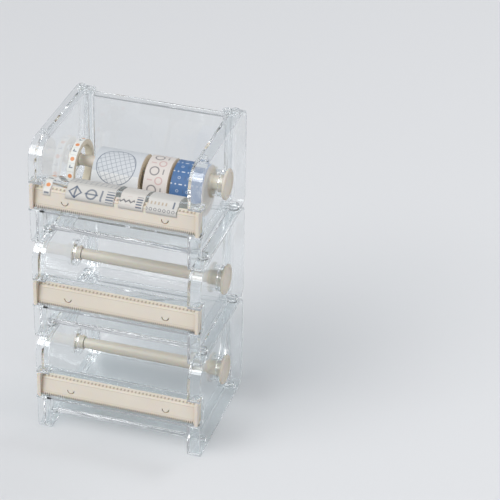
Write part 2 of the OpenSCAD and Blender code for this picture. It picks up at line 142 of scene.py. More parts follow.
def new_material(name):
    """An empty material with an output, ready for a recipe."""
    material = bpy.data.materials.new(name)
    material.use_nodes = True
    material.node_tree.nodes.clear()
    return material, material.node_tree


def grain(tree, coordinates, scale, detail=2.0, roughness=0.5):
    """Soft random variation from 0 to 1."""
    return add(tree, "ShaderNodeTexNoise",
               {"Vector": coordinates, "Scale": scale, "Detail": detail,
                "Roughness": roughness}).outputs[0]


print("node helpers ready")

# %% [markdown]
# ## Clear moulded polystyrene
# The panels, walls and trays are glass-clear plastic. A Principled shader with full
# transmission bends light as the plastic does. Real mouldings are never perfectly flat or
# perfectly polished, so slow ripples bend the reflections and the roughness varies a little.
# Plain glass would block the lamps and leave the parts behind it dark, so rays that carry
# shadows or diffuse light pass through a lightly tinted Transparent shader.

# %% Clear plastic
CLEAR_TINT = (0.955, 0.972, 0.978, 1)
PASSING_TINT = (0.93, 0.945, 0.95, 1)
LIGHT_BOUNCES = 64


def clear_plastic():
    material, tree = new_material("clear polystyrene")
    place = add(tree, "ShaderNodeTexCoord").outputs["Object"]
    ripple = grain(tree, place, 38, 1.5, 0.4)
    haze = grain(tree, place, 420, 3, 0.6)
    bump = add(tree, "ShaderNodeBump",
               {"Height": ripple, "Strength": 0.05, "Distance": 0.0006}).outputs[0]
    body = add(tree, "ShaderNodeBsdfPrincipled",
               {"Base Color": CLEAR_TINT, "Roughness": spread(tree, haze, 0.0, 0.015),
                "Normal": bump, "IOR": 1.57, "Transmission Weight": 1.0}).outputs[0]
    passing = add(tree, "ShaderNodeBsdfTransparent", {0: PASSING_TINT}).outputs[0]
    path = add(tree, "ShaderNodeLightPath").outputs
    lets_through = calc(tree, "MAXIMUM", path["Is Shadow Ray"], path["Is Diffuse Ray"])
    mix = add(tree, "ShaderNodeMixShader", {0: lets_through, 1: body, 2: passing}).outputs[0]
    add(tree, "ShaderNodeOutputMaterial", {0: mix})
    return material


CLEAR = clear_plastic()
# Light crosses many clear walls in a stack of three, so long paths are kept
scene.cycles.max_bounces = LIGHT_BOUNCES
scene.cycles.transmission_bounces = LIGHT_BOUNCES
scene.cycles.glossy_bounces = LIGHT_BOUNCES
scene.cycles.transparent_max_bounces = LIGHT_BOUNCES
print("material:", CLEAR.name)

# %% [markdown]
# ## Sizes of a tier
# The frame's boxes tell where each piece lies, but not how its parts slope or repeat, so these
# sizes of the CAD model are written here in millimetres. A pair is a depth along Y and a
# height above a tier's feet. ROD_Y and LIP_REAR are depths, TOOTH_TIP is a height, FACE_END is
# half the length of a cutter's face, and BUMP is a height above the ledge. TOOTH and BUMP_STEP
# are the steps at which teeth and bumps repeat. The tiers are alike and TIER_UP apart.

# %% Sizes of a tier
TIER_UP = 108.0
ROD_Y = 24.0
WALL_TOP, WALL_THICK = (-55.95, 66.0), 2.4
LEDGE_REAR, LEDGE_FRONT = (-60.35, 62.6), (-66.15, 60.0)
LEDGE_MIDDLE = (-63.25, 61.3)
LIP = (-69.15, 42.5)
LIP_REAR = -67.4
FACE_END = 80.1
BUMP, BUMP_STEP = 0.5, 3.8
TOOTH, TOOTH_TIP = 1.97, 41.0
print("tiers", TIER_UP, "mm apart, teeth", TOOTH, "mm apart")

# %% [markdown]
# ## Shades on the cutters
# A cutter's teeth and bumps are small, and what shows from a step away is the dark between
# them. The teeth also look longer in the photograph than on the CAD model. So the cutters'
# material works out where three kinds of shade lie: gullets that rise from the teeth and
# narrow to a point, hollows between the bumps of the ledge, and two thin seams along the
# face. All of them stop at the ends of the face.

# %% Shades on the cutters
GULLET_TOP = 45.0
HOLLOW_HALF_X, HOLLOW_HALF_Y, HOLLOW_DEPTH = 0.8, 1.1, 1.2
SEAM_HEIGHTS, SEAM_HALF = (59.2, 46.0), 0.225
GULLET_SHADE = (0.95, (0.05, 0.037, 0.027, 1))
HOLLOW_SHADE = (0.75, (0.30, 0.23, 0.165, 1))
SEAM_SHADE = (0.5, (0.38, 0.31, 0.23, 1))


def cutter_shades(tree, place):
    """Lists (share, strength, colour) for a cutter's gullets, hollows and seams."""
    at = add(tree, "ShaderNodeSeparateXYZ", {0: place}).outputs
    x, y, z = (calc(tree, "MULTIPLY", at[i], 1 / MM) for i in range(3))
    z = calc(tree, "MODULO", z, TIER_UP)

    # Half a gullet's width, from half a tooth at the tips to nothing at its top
    room = calc(tree, "MULTIPLY", calc(tree, "SUBTRACT", GULLET_TOP, z),
                TOOTH / 2 / (GULLET_TOP - TOOTH_TIP))
    off_gullet = calc(tree, "ABSOLUTE", wrapped(tree, x, TOOTH, TOOTH / 2))
    gullet = calc(tree, "MAXIMUM", calc(tree, "SUBTRACT", off_gullet, room),
                  calc(tree, "SUBTRACT", y, LIP_REAR))

    across = off_line(tree, wrapped(tree, x, BUMP_STEP, BUMP_STEP / 2), HOLLOW_HALF_X)
    along = off_line(tree, calc(tree, "SUBTRACT", y, LEDGE_MIDDLE[0]), HOLLOW_HALF_Y)
    below_ledge = calc(tree, "SUBTRACT", LEDGE_MIDDLE[1] - HOLLOW_DEPTH, z)
    hollow = calc(tree, "MAXIMUM", calc(tree, "MAXIMUM", across, along), below_ledge)

    seams = 0.0
    for height in SEAM_HEIGHTS:
        seam = off_line(tree, calc(tree, "SUBTRACT", z, height), SEAM_HALF)
        seams = calc(tree, "MAXIMUM", soft(tree, seam, 0.25), seams)

    on_face = soft(tree, off_line(tree, x, FACE_END), 0.2)
    return [(calc(tree, "MULTIPLY", share, on_face), *look)
            for share, look in ((soft(tree, gullet, 0.2), GULLET_SHADE),
                                (soft(tree, hollow, 1 / 3), HOLLOW_SHADE),
                                (seams, SEAM_SHADE))]


print("shades on the cutters ready")

# %% [markdown]
# ## Cream moulded plastic
# The cutters, rods, bushes and knobs are an ivory satin plastic that looks tan in the shade,
# because light goes a little way into it. Weak subsurface scattering gives that warmth.
# Hollows, such as the feet of the bumps and the roots of the teeth, get painted shade: where
# ambient occlusion finds them closed in, their colour is painted a deeper tan. The mould leaves
# a fine grain and a faint unevenness of colour.

# %% Cream plastic
CREAM_DARK, CREAM_LIGHT = (0.64, 0.575, 0.485, 1), (0.69, 0.64, 0.56, 1)
# Colour of the painted shade in hollows
PAINTED_HOLLOW_SHADE = (0.42, 0.26, 0.12, 1)


def cream_plastic(name, shades=None):
    """The cream plastic; shades(tree, place) lists what is painted over its colour."""
    material, tree = new_material(name)
    place = add(tree, "ShaderNodeTexCoord").outputs["Object"]
    cloud = grain(tree, place, 26, 3, 0.5)
    fine = grain(tree, place, 2600, 2, 0.6)
    colour = blend_colours(tree, cloud, CREAM_DARK, CREAM_LIGHT)
    # Painted shade: places that ambient occlusion finds closed in are coloured a deeper tan
    openness = add(tree, "ShaderNodeAmbientOcclusion", {"Distance": 0.006}, samples=8,
                   only_local=True).outputs["AO"]
    painted_shade_share = calc(tree, "MULTIPLY_ADD", openness, -1.5, 1.2, clamp=True)
    colour = blend_colours(tree, painted_shade_share, colour, PAINTED_HOLLOW_SHADE)
    for share, strength, tone in shades(tree, place) if shades else ():
        colour = blend_colours(tree, calc(tree, "MULTIPLY", share, strength), colour, tone)
    bump = add(tree, "ShaderNodeBump",
               {"Height": fine, "Strength": 0.22, "Distance": 0.00006}).outputs[0]
    body = add(tree, "ShaderNodeBsdfPrincipled",
               {"Base Color": colour, "Roughness": spread(tree, cloud, 0.34, 0.46),
                "Normal": bump, "IOR": 1.5, "Subsurface Weight": 0.3,
                "Subsurface Radius": (1.0, 0.5, 0.2), "Subsurface Scale": 0.0022}).outputs[0]
    add(tree, "ShaderNodeOutputMaterial", {0: body})
    return material


CREAM = cream_plastic("cream plastic")
CUTTER_CREAM = cream_plastic("cream plastic of the cutters", cutter_shades)
print("materials:", CREAM.name, "and", CUTTER_CREAM.name)

# %% [markdown]
# ## Rounded copies of the moulded pieces
# Moulded plastic has no knife edges: each edge is rounded, and on clear plastic that small
# round is what catches the light and draws the bright outline. The CAD solids have sharp
# edges, so a welded copy of each gets a narrow bevel and stands for its node. Flat faces are
# first joined from their triangles, so that the bevel runs only along real edges.
#
# Where two touching pieces share a face exactly, light can't tell one from the next, and clear
# plastic shows black patches there. So a hair of air is let in: the trays and the cutters are
# raised a little, and the trays and the rear walls end a little short of the side panels.

# %% Rounded copies
WELD = 0.003
FLAT_DEGREES, EDGE_DEGREES = 0.6, 38
RISE = {"tray": 0.03, "cutter": 0.06}
END_GAP = {"tray": 0.03, "rear_wall": 0.03}


def welded_copy(node):
    """A copy of a CAD node's mesh with shared corners and whole flat faces."""
    work = bmesh.new()
    work.from_mesh(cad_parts[node].data)
    bmesh.ops.remove_doubles(work, verts=work.verts, dist=WELD * MM)
    bmesh.ops.dissolve_limit(work, angle_limit=math.radians(FLAT_DEGREES), verts=work.verts,
                             edges=work.edges)
    mesh = bpy.data.meshes.new(node + "_moulded")
    work.to_mesh(mesh)
    work.free()
    return mesh


def shade(mesh, degrees=34):
    """Smooth shading, with real corners kept sharp."""
    mesh.shade_smooth()
    mesh.set_sharp_from_angle(angle=math.radians(degrees))


def place_piece(name, mesh, body, slot, *nodes):
    """Makes an object of a mesh, on a CAD body, standing for CAD nodes."""
    piece = bpy.data.objects.new(name, mesh)
    scene.collection.objects.link(piece)
    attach(piece, body)
    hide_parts(*nodes)
    return piece


def moulded(node, body, slot, finish, edge_mm):
    """A rounded copy of a CAD node, with its hair of air."""
    mesh = welded_copy(node)
    part = node.split("_", 1)[1]
    low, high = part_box(node)
    share = 1 - 2 * END_GAP.get(part, 0.0) * MM / (high[0] - low[0])
    mesh.transform(Matrix.Diagonal((share, 1, 1, 1)))
    mesh.transform(Matrix.Translation((0, 0, RISE.get(part, 0.0) * MM)))
    mesh.materials.clear()
    mesh.materials.append(finish)
    shade(mesh)
    piece = place_piece(node + "_moulded", mesh, body, slot, node)
    bevel = piece.modifiers.new("rounded edges", "BEVEL")
    bevel.width = edge_mm * MM
    bevel.segments = 2
    bevel.limit_method = "ANGLE"
    bevel.angle_limit = math.radians(EDGE_DEGREES)
    bevel.use_clamp_overlap = True
    bevel.harden_normals = True


TIERS = ("bottom", "middle", "top")
CLEAR_EDGES = {"left_panel": 0.5, "right_panel": 0.5, "rear_wall": 0.4, "tray": 0.4}
CREAM_EDGES = {"cutter": 0.22, "bush": 0.3}
TURNED_EDGE = 0.35
for tier in TIERS:
    for part, edge in CLEAR_EDGES.items():
        moulded(f"{tier}_{part}", f"{tier}_tier", "clear_plastic", CLEAR, edge)
    for part, edge in CREAM_EDGES.items():
        moulded(f"{tier}_{part}", f"{tier}_tier", "cream_plastic",
                CUTTER_CREAM if part == "cutter" else CREAM, edge)
    moulded(f"{tier}_rod", f"{tier}_axle", "cream_plastic", CREAM, TURNED_EDGE)
    moulded(f"{tier}_knob", f"{tier}_grip", "cream_plastic", CREAM, TURNED_EDGE)
print("moulded pieces:", len(TIERS) * (len(CLEAR_EDGES) + len(CREAM_EDGES) + 2))

# %% [markdown]
# ## Printed paper
# Each tape carries a small repeating print. A print is drawn with arithmetic on the tape's own
# map: U runs along the tape and V across it, both in millimetres, so the marks keep their size
# round the roll. A distance to the middle of a repeat makes dots and rings, and the larger of
# two distances makes bars.

# %% Print helpers
INK_EDGE = 0.18
PAPER_IOR = 1.45


class Ground:
    """A tape's map in millimetres, with ways to draw marks on it."""

    def __init__(self, tree):
        self.tree = tree
        uv = add(tree, "ShaderNodeUVMap", uv_map="tape").outputs[0]
        split = add(tree, "ShaderNodeSeparateXYZ", {0: uv}).outputs
        self.along = calc(tree, "MULTIPLY", split[0], 1 / MM)
        self.across = calc(tree, "MULTIPLY", split[1], 1 / MM)

    def repeat(self, value, period, shift=0.0):
        return wrapped(self.tree, value, period, shift)

    def shifted(self, value, by):
        return calc(self.tree, "ADD", value, by)

    def both(self, first, second):
        """Where two marks overlap."""
        return calc(self.tree, "MAXIMUM", first, second)

    def either(self, first, second):
        """Two marks taken together."""
        return calc(self.tree, "MINIMUM", first, second)

    def line(self, value, half):
        return off_line(self.tree, value, half)

    def ink(self, distance):
        """The share of ink for a mark."""
        return soft(self.tree, distance, INK_EDGE)

    def dot(self, a, b, radius):
        long = calc(self.tree, "SQRT", calc(self.tree, "ADD", calc(self.tree, "POWER", a, 2.0),
                                            calc(self.tree, "POWER", b, 2.0)))
        return calc(self.tree, "SUBTRACT", long, radius)

    def ring(self, a, b, radius, stroke):
        return self.line(self.dot(a, b, radius), stroke / 2)

    def bar(self, a, b, half_a, half_b):
        return self.both(self.line(a, half_a), self.line(b, half_b))

    def diamond(self, a, b, half, stroke):
        total = calc(self.tree, "ADD", calc(self.tree, "ABSOLUTE", a),
                     calc(self.tree, "ABSOLUTE", b))
        return self.line(calc(self.tree, "SUBTRACT", total, half), stroke / 2)


def paper_print(name, paper, draw):
    """A printed paper material; draw(ground) lists (distance, ink colour, strength)."""
    material, tree = new_material(name)
    ground = Ground(tree)
    place = add(tree, "ShaderNodeTexCoord").outputs["Object"]
    fibre = grain(tree, place, 900, 3, 0.65)
    cloud = grain(tree, place, 60, 2, 0.5)
    shade_share = calc(tree, "MULTIPLY", fibre, 0.35)
    darker = tuple(c * 0.86 for c in paper[:3]) + (1,)
    colour = blend_colours(tree, shade_share, paper, darker)
    for distance, ink, strength in draw(ground):
        mask = calc(tree, "MULTIPLY", ground.ink(distance), strength)
        worn = calc(tree, "MULTIPLY", mask, spread(tree, cloud, 0.78, 1.0))
        colour = blend_colours(tree, worn, colour, ink)
    bump = add(tree, "ShaderNodeBump",
               {"Height": fibre, "Strength": 0.3, "Distance": 0.00008}).outputs[0]
    body = add(tree, "ShaderNodeBsdfPrincipled",
               {"Base Color": colour, "Roughness": 0.55, "Normal": bump,
                "IOR": PAPER_IOR, "Sheen Weight": 0.08}).outputs[0]
    add(tree, "ShaderNodeOutputMaterial", {0: body})
    return material


print("print helpers ready")

# %% [markdown]
# ## The four prints
# The narrow tape is white with orange dots and dark blue strokes. The wide one is pale grey
# with a fine blue-grey grid in large circles and a paler band between them. The medium one is
# off-white with grey and pinkish rings, and the fourth is steel blue with small white marks.
# All are plain geometric motifs, measured in millimetres from the tape's left edge.

# %% Prints for the wound tape
WHITE_PAPER = (0.80, 0.79, 0.75, 1)
COOL_PAPER = (0.57, 0.59, 0.615, 1)
WARM_PAPER = (0.65, 0.60, 0.565, 1)
BLUE_PAPER = (0.065, 0.15, 0.32, 1)
ORANGE_INK = (0.72, 0.22, 0.04, 1)
SLATE_INK = (0.055, 0.085, 0.14, 1)
GRID_INK = (0.07, 0.10, 0.15, 1)
GREY_INK = (0.10, 0.10, 0.115, 1)
PINK_INK = (0.50, 0.30, 0.29, 1)
TAN_INK = (0.42, 0.33, 0.24, 1)
PALE_INK = (0.78, 0.80, 0.82, 1)
BAND_INK = (0.74, 0.73, 0.71, 1)
NARROW_MIDDLE = 3.6
ANY_WIDTH = 60


def narrow_print(g):
    motif = 17
    u, v = g.along, g.shifted(g.across, -NARROW_MIDDLE)
    dots, strokes = g.repeat(u, motif), g.repeat(u, motif, motif / 2)
    yield g.bar(g.repeat(u, motif / 2, motif / 4), v, 0.16, 9), GREY_INK, 0.45
    yield g.dot(dots, v, 2.1), ORANGE_INK, 1.0
    yield g.bar(strokes, v, 0.5, 1.9), SLATE_INK, 0.95
    yield g.bar(g.shifted(strokes, 1.3), g.shifted(v, 1.0), 1.2, 0.45), SLATE_INK, 0.95


def wide_print(g):
    radius, squares, line_half = 19.5, 5, 0.22
    u, v = g.along, g.across
    circle_u, circle_v = g.repeat(u, 79, 22), g.shifted(v, -23)
    inside = g.dot(circle_u, circle_v, radius)
    slant_u = calc(g.tree, "MULTIPLY_ADD", v, 0.5, u)
    slant_v = calc(g.tree, "MULTIPLY_ADD", u, -0.5, v)
    lines = g.either(g.line(g.repeat(slant_u, squares), line_half),
                     g.line(g.repeat(slant_v, squares), line_half))
    yield g.bar(g.shifted(circle_u, -22), v, 14, ANY_WIDTH), BAND_INK, 0.7
    yield lines, GRID_INK, 0.06
    yield g.both(lines, inside), GRID_INK, 0.75
    yield g.ring(circle_u, circle_v, radius, 0.8), GRID_INK, 0.9


def medium_print(g):
    motif = 19
    u, v = g.along, g.across
    first, second = g.repeat(u, motif), g.repeat(u, motif, motif / 2)
    yield g.ring(first, g.shifted(v, -9.0), 4.3, 1.3), GREY_INK, 0.85
    yield g.ring(second, g.shifted(v, -15.0), 3.4, 1.2), PINK_INK, 0.8
    yield g.bar(second, g.shifted(v, -6.0), 0.65, 2.6), PINK_INK, 0.7
    yield g.bar(first, g.shifted(v, -18.0), 2.8, 0.65), GREY_INK, 0.75


def blue_print(g):
    rows_apart, marks_apart = 13, 10
    u, v = g.along, g.across
    rows, between = g.repeat(u, rows_apart), g.repeat(u, rows_apart, rows_apart / 2)
    yield g.bar(rows, g.repeat(v, marks_apart), 0.55, 1.7), PALE_INK, 0.85
    yield g.dot(rows, g.repeat(v, marks_apart, marks_apart / 2), 0.8), PALE_INK, 0.75
    yield g.ring(between, g.repeat(v, marks_apart, 2.5), 1.2, 0.45), PALE_INK, 0.7
    yield g.bar(between, g.repeat(v, 2 * marks_apart, 6.5), 1.8, 0.5), SLATE_INK, 0.6


PRINTS = {
    "narrow": paper_print("narrow tape print", WHITE_PAPER, narrow_print),
    "wide": paper_print("wide tape print", COOL_PAPER, wide_print),
    "medium": paper_print("medium tape print", WARM_PAPER, medium_print),
    "blue": paper_print("blue tape print", BLUE_PAPER, blue_print),
}
print("prints:", ", ".join(PRINTS))

# %% [markdown]
# ## Prints for the free ends
# A free end is led over the front wall with its other side up, so the print shows through
# paler, and the larger motifs of that length differ from the ones on top of the roll. The
# large motifs stand in one row, where the paper lies on the cutter. U runs from the roll, so
# each row is placed by its distance along the paper.

# %% Prints for the free ends
END_ROW, BLUE_ROW, BLUE_RINGS = 93, 90, 97
FINE_UNTIL = 81


def narrow_end_print(g):
    u, v = g.along, g.shifted(g.across, -NARROW_MIDDLE)
    yield g.dot(g.repeat(u, 17, -3.5), v, 2.1), ORANGE_INK, 0.95
    yield g.bar(g.repeat(u, 17, 5), v, 1.0, 2.4), SLATE_INK, 0.85


def wide_end_print(g):
    squares, line_half = 5, 0.25
    u, v = g.along, g.across
    row = g.shifted(u, -END_ROW)
    lines = g.either(g.line(g.repeat(u, squares), line_half),
                     g.line(g.repeat(v, squares), line_half))
    stripes = g.bar(g.repeat(u, 3), g.shifted(v, -43.5), 0.75, 3.8)
    yield g.both(lines, g.shifted(u, -FINE_UNTIL)), GRID_INK, 0.75
    yield g.diamond(row, g.shifted(v, -9), 6.0, 2.0), SLATE_INK, 0.95
    yield g.bar(row, g.shifted(v, -9), 6.5, 0.9), SLATE_INK, 0.9
    yield g.ring(row, g.shifted(v, -25), 4.8, 1.7), GRID_INK, 0.85
    yield g.bar(row, g.shifted(v, -25), 0.85, 6.6), GRID_INK, 0.85
    yield g.bar(row, g.shifted(v, -35), 5.8, 0.9), GRID_INK, 0.8
    yield g.both(stripes, g.bar(row, v, 6.0, ANY_WIDTH)), SLATE_INK, 0.95


def medium_end_print(g):
    u, v = g.along, g.across
    row = g.shifted(u, -END_ROW)
    fold = calc(g.tree, "ABSOLUTE", g.repeat(v, 5, 1))
    zigzag = g.line(calc(g.tree, "SUBTRACT", g.shifted(row, 1.2), fold), 0.95)
    stripes = g.bar(g.repeat(u, 2.8), g.shifted(v, -19.5), 0.75, 2.9)
    yield g.both(zigzag, g.shifted(v, -15)), GREY_INK, 0.95
    yield g.both(stripes, g.bar(row, v, 6.0, ANY_WIDTH)), SLATE_INK, 0.95
    yield g.bar(g.repeat(u, 9, 2), g.repeat(v, 9), 0.4, 2.4), PINK_INK, 0.3


def blue_end_print(g):
    u, v = g.along, g.across
    row = g.shifted(u, -BLUE_ROW)
    short = g.bar(row, g.repeat(v, 3.6), 1.6, 0.75)
    yield g.both(short, g.shifted(v, -19)), TAN_INK, 0.95
    yield g.ring(g.shifted(u, -BLUE_RINGS), g.repeat(v, 4.4), 1.3, 0.7), GREY_INK, 0.85
    yield g.bar(row, g.shifted(v, -25.5), 3.6, 0.8), SLATE_INK, 0.9


END_PRINTS = {
    "narrow": paper_print("narrow free end print", (0.70, 0.68, 0.64, 1), narrow_end_print),
    "wide": paper_print("wide free end print", (0.57, 0.555, 0.525, 1), wide_end_print),
    "medium": paper_print("medium free end print", (0.61, 0.585, 0.545, 1), medium_end_print),
    "blue": paper_print("blue free end print", (0.59, 0.575, 0.545, 1), blue_end_print),
}
print("free end prints:", ", ".join(END_PRINTS))

# %% [markdown]
# ## Paper edges and cores
# Seen from the side, a roll shows the edges of its many turns as fine rings of tan and white,
# and inside them the core, a tube wound from strips of pale card with a seam that climbs round
# its bore.

# %% Paper edge and core card
EDGE_PITCH = 0.35


def ringed_paper(name, light, dark):
    """Edges of wound layers: fine rings along the map's U, which holds the radius."""
    material, tree = new_material(name)
    ground = Ground(tree)
    place = add(tree, "ShaderNodeTexCoord").outputs["Object"]
    layers = add(tree, "ShaderNodeTexNoise",
                 {"W": calc(tree, "MULTIPLY", ground.along, 1 / EDGE_PITCH), "Scale": 1.0,
                  "Detail": 2.0}, noise_dimensions="1D").outputs[0]
    dust = grain(tree, place, 1400, 2, 0.6)
    share = calc(tree, "MULTIPLY_ADD", calc(tree, "SUBTRACT", layers, 0.5), 2.6, 0.45,
                 clamp=True)
    colour = blend_colours(tree, share, light, dark)
    height = calc(tree, "ADD", layers, calc(tree, "MULTIPLY", dust, 0.3))
    bump = add(tree, "ShaderNodeBump",
               {"Height": height, "Strength": 0.5, "Distance": 0.0001}).outputs[0]
    body = add(tree, "ShaderNodeBsdfPrincipled",
               {"Base Color": colour, "Roughness": 0.7, "Normal": bump,
                "IOR": PAPER_IOR}).outputs[0]
    add(tree, "ShaderNodeOutputMaterial", {0: body})
    return material


def core_card():
    material, tree = new_material("core card")
    ground = Ground(tree)
    place = add(tree, "ShaderNodeTexCoord").outputs["Object"]
    fibre = grain(tree, place, 1100, 4, 0.7)
    climb = calc(tree, "ADD", ground.along, calc(tree, "MULTIPLY", ground.across, 1.6))
    seam = ground.ink(ground.line(ground.repeat(climb, 38), 0.16))
    colour = blend_colours(tree, fibre, (0.70, 0.61, 0.47, 1), (0.84, 0.77, 0.64, 1))
    colour = blend_colours(tree, calc(tree, "MULTIPLY", seam, 0.7), colour,
                           (0.40, 0.30, 0.20, 1))
    height = calc(tree, "SUBTRACT", calc(tree, "MULTIPLY", fibre, 0.4), seam)
    bump = add(tree, "ShaderNodeBump",
               {"Height": height, "Strength": 0.4, "Distance": 0.00015}).outputs[0]
    body = add(tree, "ShaderNodeBsdfPrincipled",
               {"Base Color": colour, "Roughness": 0.75, "Normal": bump,
                "IOR": PAPER_IOR}).outputs[0]
    add(tree, "ShaderNodeOutputMaterial", {0: body})
    return material


PAPER_EDGE = ringed_paper("tape edges", (0.86, 0.80, 0.69, 1), (0.72, 0.60, 0.46, 1))
BLUE_EDGE = ringed_paper("blue tape edges", (0.80, 0.71, 0.61, 1), (0.56, 0.44, 0.36, 1))
CARD = core_card()
print("materials:", PAPER_EDGE.name, BLUE_EDGE.name, CARD.name)

# %% [markdown]
# ## Wound tape
# A roll of tape is one long strip wound in a spiral, so that is how it is built: Geometry
# Nodes bend a grid into a strip, with its long side running round and outwards. The turn
# count, the sizes and the slight sideways wander of the turns are inputs. The last turn ends
# in a small step, as on a real roll.

# %% The winding tree
def winding_tree():
    tree = bpy.data.node_groups.new("wound strip", "GeometryNodeTree")
    face = tree.interface
    for name, kind, value in (
        ("Left Edge", "NodeSocketFloat", 0.0), ("Width", "NodeSocketFloat", 0.02),
        ("Middle Y", "NodeSocketFloat", 0.0), ("Middle Z", "NodeSocketFloat", 0.0),
        ("Inner Radius", "NodeSocketFloat", 0.018), ("Outer Radius", "NodeSocketFloat", 0.025),
        ("Turns", "NodeSocketFloat", 30.0), ("Steps Per Turn", "NodeSocketInt", 72),
        ("End Angle", "NodeSocketFloat", 0.0), ("Wander", "NodeSocketFloat", 0.0001),
        ("Seed", "NodeSocketFloat", 1.0), ("Paper", "NodeSocketMaterial", None),
    ):
        socket = face.new_socket(name, in_out="INPUT", socket_type=kind)
        if value is not None:
            socket.default_value = value
    face.new_socket("Geometry", in_out="OUTPUT", socket_type="NodeSocketGeometry")
    given = tree.nodes.new("NodeGroupInput").outputs

    steps = calc(tree, "MULTIPLY", given["Turns"], given["Steps Per Turn"])
    grid = add(tree, "GeometryNodeMeshGrid",
               {"Size X": 1.0, "Size Y": 1.0, "Vertices X": calc(tree, "ADD", steps, 1.0),
                "Vertices Y": 5}).outputs[0]
    split = add(tree, "ShaderNodeSeparateXYZ",
                {0: tree.nodes.new("GeometryNodeInputPosition").outputs[0]}).outputs
    run = calc(tree, "ADD", split[0], 0.5)
    corner = calc(tree, "ROUND", calc(tree, "MULTIPLY", calc(tree, "ADD", split[1], 0.5), 4.0))
    is_right = calc(tree, "COMPARE", corner, 1.5, 0.6)
    is_inner = calc(tree, "COMPARE", corner, 2.5, 0.6)

    depth = calc(tree, "SUBTRACT", given["Outer Radius"], given["Inner Radius"])
    pitch = calc(tree, "DIVIDE", depth, given["Turns"])
    growth = calc(tree, "MULTIPLY", calc(tree, "SUBTRACT", depth, pitch), run)
    outside = calc(tree, "ADD", calc(tree, "ADD", given["Inner Radius"], pitch), growth)
    radius = calc(tree, "SUBTRACT", outside,
                  calc(tree, "MULTIPLY", calc(tree, "MULTIPLY", pitch, 0.95), is_inner))
    wound = calc(tree, "MULTIPLY", calc(tree, "SUBTRACT", run, 1.0),
                 calc(tree, "MULTIPLY", given["Turns"], math.tau))
    angle = calc(tree, "ADD", wound, given["End Angle"])

    turn_at = calc(tree, "MULTIPLY_ADD", calc(tree, "MULTIPLY", run, given["Turns"]), 0.8,
                   given["Seed"])
    wander = add(tree, "ShaderNodeTexNoise", {"W": turn_at, "Scale": 1.0, "Detail": 1.0},
                 noise_dimensions="1D").outputs[0]
    side_step = calc(tree, "MULTIPLY", calc(tree, "SUBTRACT", wander, 0.5), given["Wander"])
    x = calc(tree, "ADD", calc(tree, "MULTIPLY_ADD", given["Width"], is_right,
                               given["Left Edge"]), side_step)
    y = calc(tree, "MULTIPLY_ADD", radius, calc(tree, "COSINE", angle), given["Middle Y"])
    z = calc(tree, "MULTIPLY_ADD", radius, calc(tree, "SINE", angle), given["Middle Z"])
    position = add(tree, "ShaderNodeCombineXYZ", {0: x, 1: y, 2: z}).outputs[0]
    bent = add(tree, "GeometryNodeSetPosition", {"Geometry": grid, "Position": position})
    closed = add(tree, "GeometryNodeMergeByDistance",
                 {"Geometry": bent.outputs[0], "Distance": 1e-6})
    real = add(tree, "GeometryNodeRealizeInstances", {0: closed.outputs[0]})
    painted = add(tree, "GeometryNodeSetMaterial",
                  {"Geometry": real.outputs[0], "Material": given["Paper"]})
    add(tree, "NodeGroupOutput", {0: painted.outputs[0]})
    return tree


def grown(tree, inputs):
    """Runs a tree on an empty mesh with named inputs, and returns the plain mesh it makes."""
    seedling = bpy.data.objects.new("seedling", bpy.data.meshes.new("seedling"))
    scene.collection.objects.link(seedling)
    modifier = seedling.modifiers.new("growth", "NODES")
    modifier.node_group = tree
    for item in tree.interface.items_tree:
        if item.in_out == "INPUT" and item.name in inputs:
            modifier[item.identifier] = inputs[item.name]
    bpy.context.view_layer.update()
    ready = seedling.evaluated_get(bpy.context.evaluated_depsgraph_get())
    mesh = bpy.data.meshes.new_from_object(ready)
    bpy.data.objects.remove(seedling)
    return mesh


WINDING = winding_tree()
print("tree:", WINDING.name, "with", len(WINDING.nodes), "nodes")

# %% [markdown]
# The strip comes out of the tree open at its two ends, so those are closed. Each face then
# gets its place on the tape's map: on the wound faces U is the length round the roll and V the
# place across it, and on the sides U is the radius, for the rings of the edges. The strip stays
# a hair inside the CAD roll, so that its wandering turns don't pass the roll's faces.

# %% Rolls of wound tape
PAPER_PITCH = 0.3
SIDE_ROOM, RIM_ROOM = 0.06, 0.02
SIDE_RADIUS = 0.02
STRIP_END_DEGREES = 228
PAPER_DEGREES = 40


def roll_size(roll):
    """Left side, width, outer radius and axis height of a roll in mm, from its CAD node."""
    low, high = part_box(roll + "_tape")
    return (low[0] / MM, (high[0] - low[0]) / MM, (high[2] - low[2]) / 2 / MM,
            (high[2] + low[2]) / 2 / MM)


def core_radius(roll):
    """Outer radius of a roll's core in mm."""
    low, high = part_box(roll + "_core")
    return (high[2] - low[2]) / 2 / MM


def map_faces(mesh, middle_y, middle_z, left, side_slot=None):
    """Writes the tape map of a wound or turned piece, and gives its sides their own slot."""
    uv = mesh.uv_layers.new(name="tape")
    at = np.empty(len(mesh.vertices) * 3)
    mesh.vertices.foreach_get("co", at)
    at = at.reshape(-1, 3)
    reach = np.hypot(at[:, 1] - middle_y, at[:, 2] - middle_z)
    turn = np.arctan2(at[:, 2] - middle_z, at[:, 1] - middle_y)
    most = reach.max()
    for face in mesh.polygons:
        corners = [mesh.loops[i].vertex_index for i in face.loop_indices]
        first = turn[corners[0]]
        on_side = abs(face.normal.x) > 0.5
        for loop, corner in zip(face.loop_indices, corners):
            a = turn[corner]
            a += math.tau * round((first - a) / math.tau)
            if on_side:
                uv.data[loop].uv = (reach[corner], a * SIDE_RADIUS)
            else:
                uv.data[loop].uv = (a * most, at[corner, 0] - left)
        if on_side and side_slot is not None:
            face.material_index = side_slot


